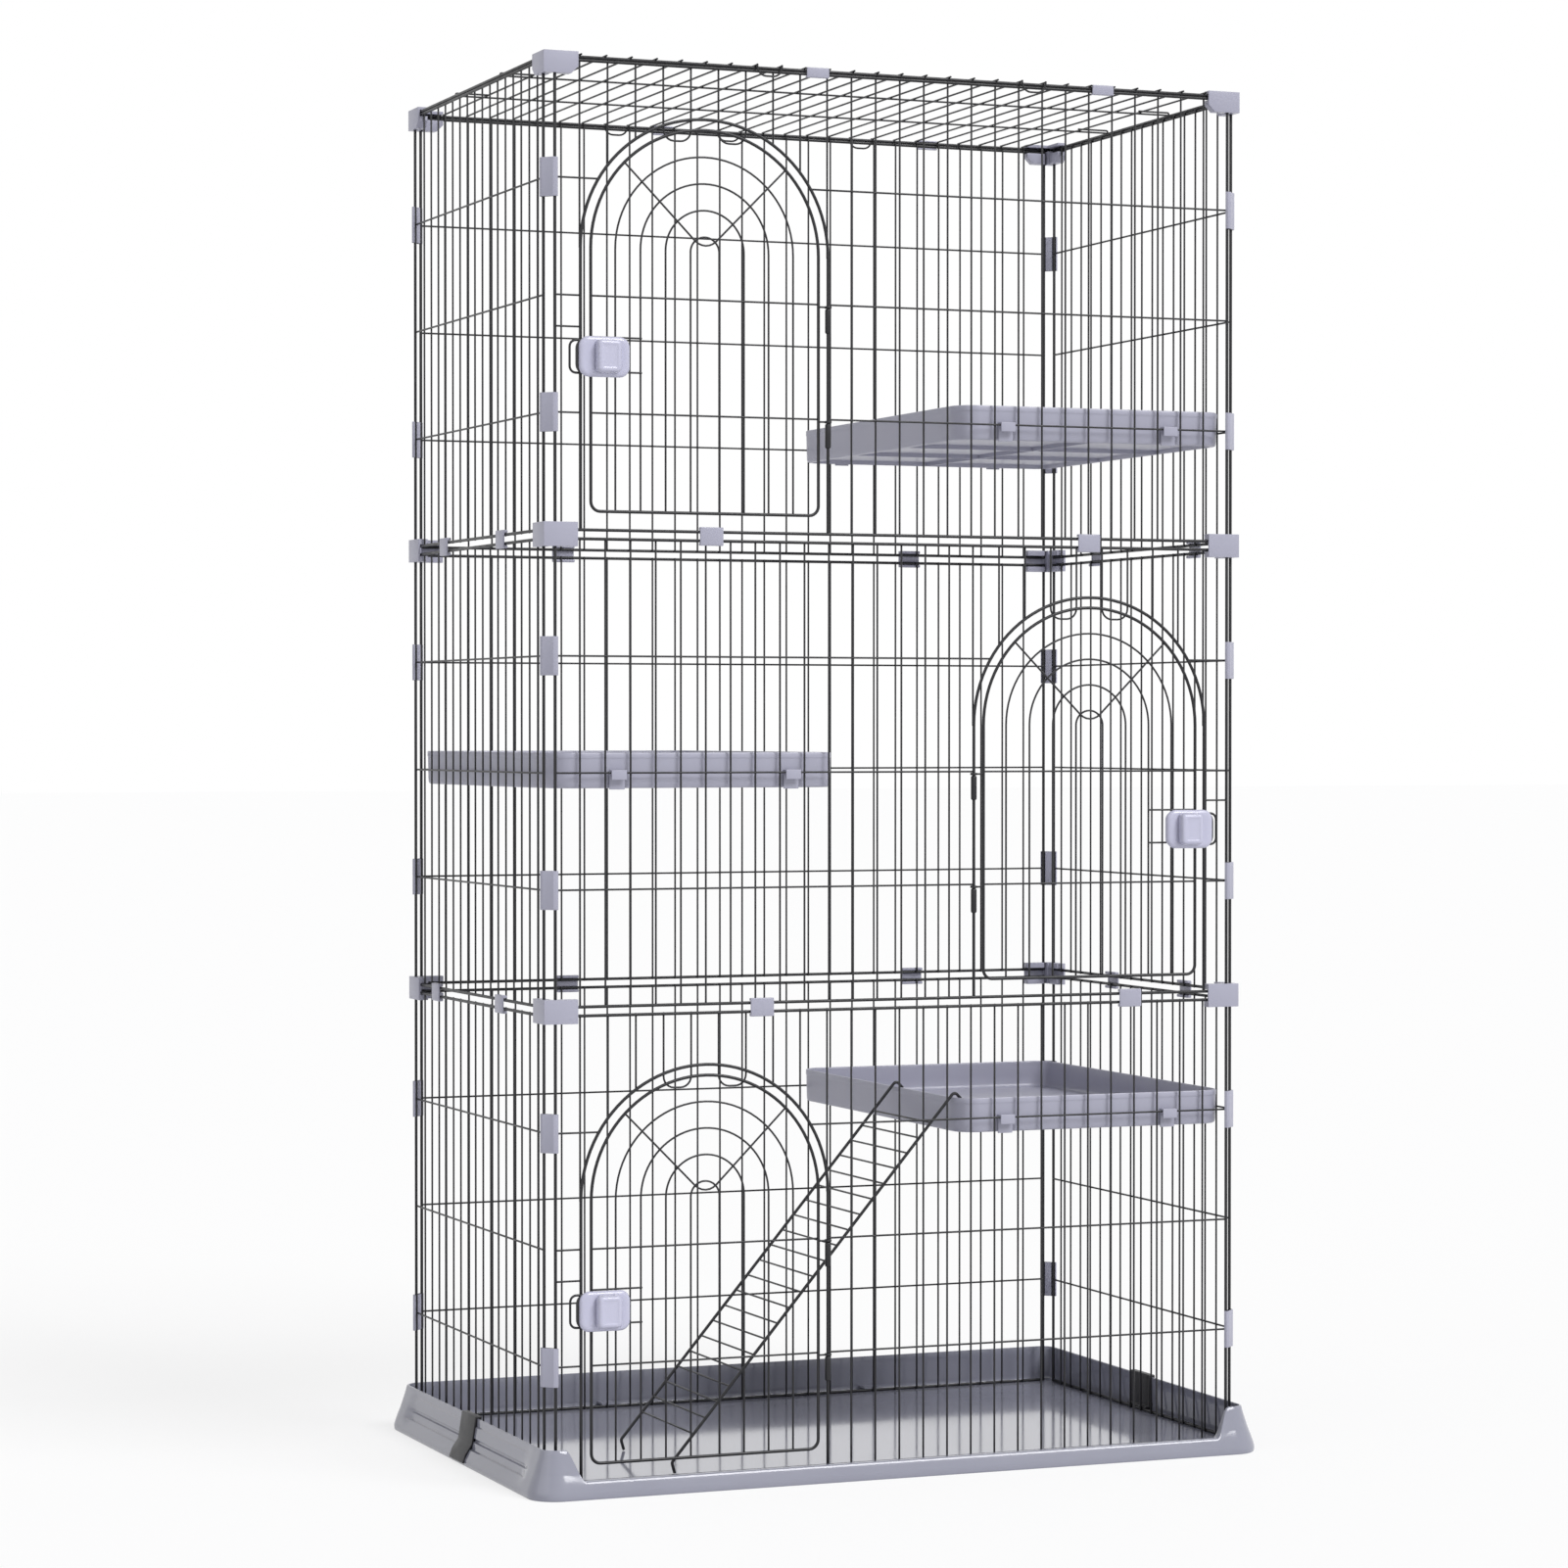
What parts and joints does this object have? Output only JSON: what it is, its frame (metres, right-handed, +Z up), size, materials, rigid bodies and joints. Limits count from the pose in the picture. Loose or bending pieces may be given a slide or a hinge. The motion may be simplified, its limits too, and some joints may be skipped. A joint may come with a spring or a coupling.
{
  "type": "cat cage",
  "caption": "Tall wire cat cage on a moulded base tray, with an arched latching door on each tier, hanging shelves and a ladder.",
  "frame": {"origin": "on the ground under the middle of the cage", "axes": "+X to the right seen from the doors, +Y to the back, +Z up"},
  "size_m": [1.0046, 0.6324, 1.772],
  "materials": {
    "tray": "satin",
    "shelf": "satin",
    "fitting": "satin",
    "latch": "satin",
    "buckle": "matte",
    "wire": "satin"
  },
  "bodies": {
    "cage": {"base_tray": "tray", "tray_buckle_left": "buckle", "tray_buckle_right": "buckle", "front_wall_lower": "wire", "back_wall_lower": "wire", "left_wall_lower": "wire", "right_wall_lower": "wire", "opening_hoop_lower": "wire", "corner_clips_lower": "fitting", "shelf_lower": "shelf", "shelf_clips_lower": "fitting", "front_wall_middle": "wire", "back_wall_middle": "wire", "left_wall_middle": "wire", "right_wall_middle": "wire", "opening_hoop_middle": "wire", "corner_clips_middle": "fitting", "shelf_middle": "shelf", "shelf_clips_middle": "fitting", "front_wall_upper": "wire", "back_wall_upper": "wire", "left_wall_upper": "wire", "right_wall_upper": "wire", "opening_hoop_upper": "wire", "corner_clips_upper": "fitting", "shelf_upper": "shelf", "shelf_clips_upper": "fitting", "lower_connector_front_left": "fitting", "upper_connector_front_left": "fitting", "top_cap_front_left": "fitting", "lower_connector_front_right": "fitting", "upper_connector_front_right": "fitting", "top_cap_front_right": "fitting", "lower_connector_back_left": "fitting", "upper_connector_back_left": "fitting", "top_cap_back_left": "fitting", "lower_connector_back_right": "fitting", "upper_connector_back_right": "fitting", "top_cap_back_right": "fitting", "edge_clips_lower": "fitting", "edge_clips_upper": "fitting", "roof_clips": "fitting", "roof_panel": "wire", "hinge_sleeves": "wire"},
    "door_lower": {"door_lower": "wire", "latch_housing_lower": "latch"},
    "latch_lower": {"latch_knob_lower": "latch", "latch_bolt_lower": "wire"},
    "door_middle": {"door_middle": "wire", "latch_housing_middle": "latch"},
    "latch_middle": {"latch_knob_middle": "latch", "latch_bolt_middle": "wire"},
    "door_upper": {"door_upper": "wire", "latch_housing_upper": "latch"},
    "latch_upper": {"latch_knob_upper": "latch", "latch_bolt_upper": "wire"},
    "ladder": {"ladder_stringers": "wire", "ladder_rungs": "wire"}
  },
  "joints": [
    {"name": "door_hinge_lower", "type": "hinge", "parent": "cage", "child": "door_lower", "pos_m": [-0.1005, -0.27875, 0.215], "axis": [0, 0, 1], "range_deg": [0, 110]},
    {"name": "latch_slide_lower", "type": "slide", "parent": "door_lower", "child": "latch_lower", "axis": [1, 0, 0], "range_m": [0, 0.02]},
    {"name": "door_hinge_middle", "type": "hinge", "parent": "cage", "child": "door_middle", "pos_m": [0.1005, -0.27875, 0.801], "axis": [0, 0, -1], "range_deg": [0, 110]},
    {"name": "latch_slide_middle", "type": "slide", "parent": "door_middle", "child": "latch_middle", "axis": [-1, 0, 0], "range_m": [0, 0.02]},
    {"name": "door_hinge_upper", "type": "hinge", "parent": "cage", "child": "door_upper", "pos_m": [-0.1005, -0.27875, 1.387], "axis": [0, 0, 1], "range_deg": [0, 110]},
    {"name": "latch_slide_upper", "type": "slide", "parent": "door_upper", "child": "latch_upper", "axis": [1, 0, 0], "range_m": [0, 0.02]},
    {"name": "ladder_tilt", "type": "hinge", "parent": "cage", "child": "ladder", "pos_m": [0.085, 0, 0.4755], "axis": [0, 1, 0], "range_deg": [0, 15]}
  ]
}
